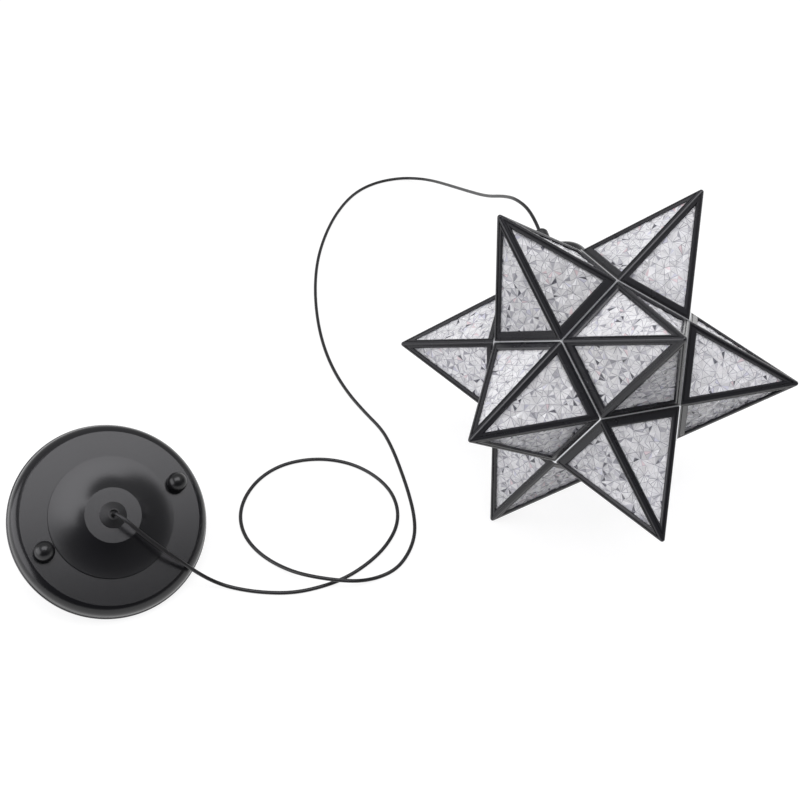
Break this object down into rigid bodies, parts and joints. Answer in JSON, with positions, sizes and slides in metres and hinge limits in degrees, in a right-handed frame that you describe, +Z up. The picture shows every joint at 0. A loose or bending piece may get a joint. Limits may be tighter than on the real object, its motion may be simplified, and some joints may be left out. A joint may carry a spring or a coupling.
{
  "type": "moravian star pendant light",
  "caption": "Many-pointed glazed star pendant with black metal edges, a domed cap, a thin black flex and a round stepped ceiling canopy, laid out on a bench.",
  "frame": {"origin": "on the bench, under the middle of the canopy and star together; the flex isn't counted", "axes": "+Z up from the bench, +X from the canopy towards the star, +Y away from the viewer"},
  "size_m": [0.4716, 0.445, 0.1993],
  "materials": {
    "satin_black_steel": "spun and pressed steel, satin black powder coat with a faint sheen",
    "frame_black": "folded metal bars, satin black lacquer",
    "patterned_glass": "clear glass with a pressed pattern of small star-cut facets",
    "black_nut": "turned brass ball, gloss black plated",
    "black_plastic": "moulded black plastic, fine satin",
    "flex_black": "thin round black flex, smooth satin sheath",
    "core_wire": "insulated cores of the flex",
    "zinc_steel": "bright zinc plated pressed steel",
    "tinned_steel": "bright tinned steel strip, soldered",
    "brass": "turned brass",
    "porcelain": "white terminal block, slightly glossy",
    "lamp_glass": "clear lamp glass",
    "lamp_base": "rolled nickel plated lamp base"
  },
  "bodies": {
    "canopy_and_cap": {"canopy_cord_grip": "black_plastic", "canopy_cover": "satin_black_steel", "canopy_lead": "flex_black", "canopy_lock_nut": "zinc_steel", "cap_cord_grip": "black_plastic", "cap_cup": "satin_black_steel", "cap_lock_nut": "zinc_steel", "cap_nipple": "brass", "cap_plate": "satin_black_steel", "cap_screws": "black_plastic", "core_wires": "core_wire", "earth_screw": "zinc_steel", "lampholder_body": "black_plastic", "lampholder_cap": "black_plastic", "lampholder_contact": "brass", "lampholder_shell": "brass", "mounting_crossbar": "zinc_steel", "mounting_screws": "zinc_steel", "pendant_flex": "flex_black", "screw_lock_nuts": "zinc_steel", "star_lead": "flex_black", "terminal_block": "porcelain"},
    "shade": {"point_frame_01": "frame_black", "point_frame_02": "frame_black", "point_frame_03": "frame_black", "point_frame_04": "frame_black", "point_frame_05": "frame_black", "point_frame_06": "frame_black", "point_frame_07": "frame_black", "point_frame_08": "frame_black", "point_frame_09": "frame_black", "point_frame_10": "frame_black", "point_frame_11": "frame_black", "point_glass_01": "patterned_glass", "point_glass_02": "patterned_glass", "point_glass_03": "patterned_glass", "point_glass_04": "patterned_glass", "point_glass_05": "patterned_glass", "point_glass_06": "patterned_glass", "point_glass_07": "patterned_glass", "point_glass_08": "patterned_glass", "point_glass_09": "patterned_glass", "point_glass_10": "patterned_glass", "point_glass_11": "patterned_glass", "pane_clips": "frame_black", "corner_brackets": "tinned_steel", "seam_strips": "tinned_steel"},
    "lamp": {"lamp_base": "lamp_base", "lamp_glass": "lamp_glass"},
    "left_ball_nut": {"left_ball_nut": "black_nut"},
    "right_ball_nut": {"right_ball_nut": "black_nut"}
  },
  "joints": [
    {"name": "shade_lowering", "type": "slide", "parent": "canopy_and_cap", "child": "shade", "axis": [0.2733, -0.9435, -0.1876], "range_m": [0, 0.12]},
    {"name": "lamp_turn", "type": "hinge", "parent": "canopy_and_cap", "child": "lamp", "pos_m": [0.1165, 0.02247, 0.09966], "axis": [0.2733, -0.9435, -0.1876], "range_deg": [0, 1080]},
    {"name": "left_ball_nut_turn", "type": "hinge", "parent": "canopy_and_cap", "child": "left_ball_nut", "pos_m": [-0.21343, -0.09452, 0.02882], "axis": [0.297, -0.3774, 0.8771], "continuous": true},
    {"name": "right_ball_nut_turn", "type": "hinge", "parent": "canopy_and_cap", "child": "right_ball_nut", "pos_m": [-0.14357, -0.03954, 0.02882], "axis": [0.297, -0.3774, 0.8771], "continuous": true}
  ]
}
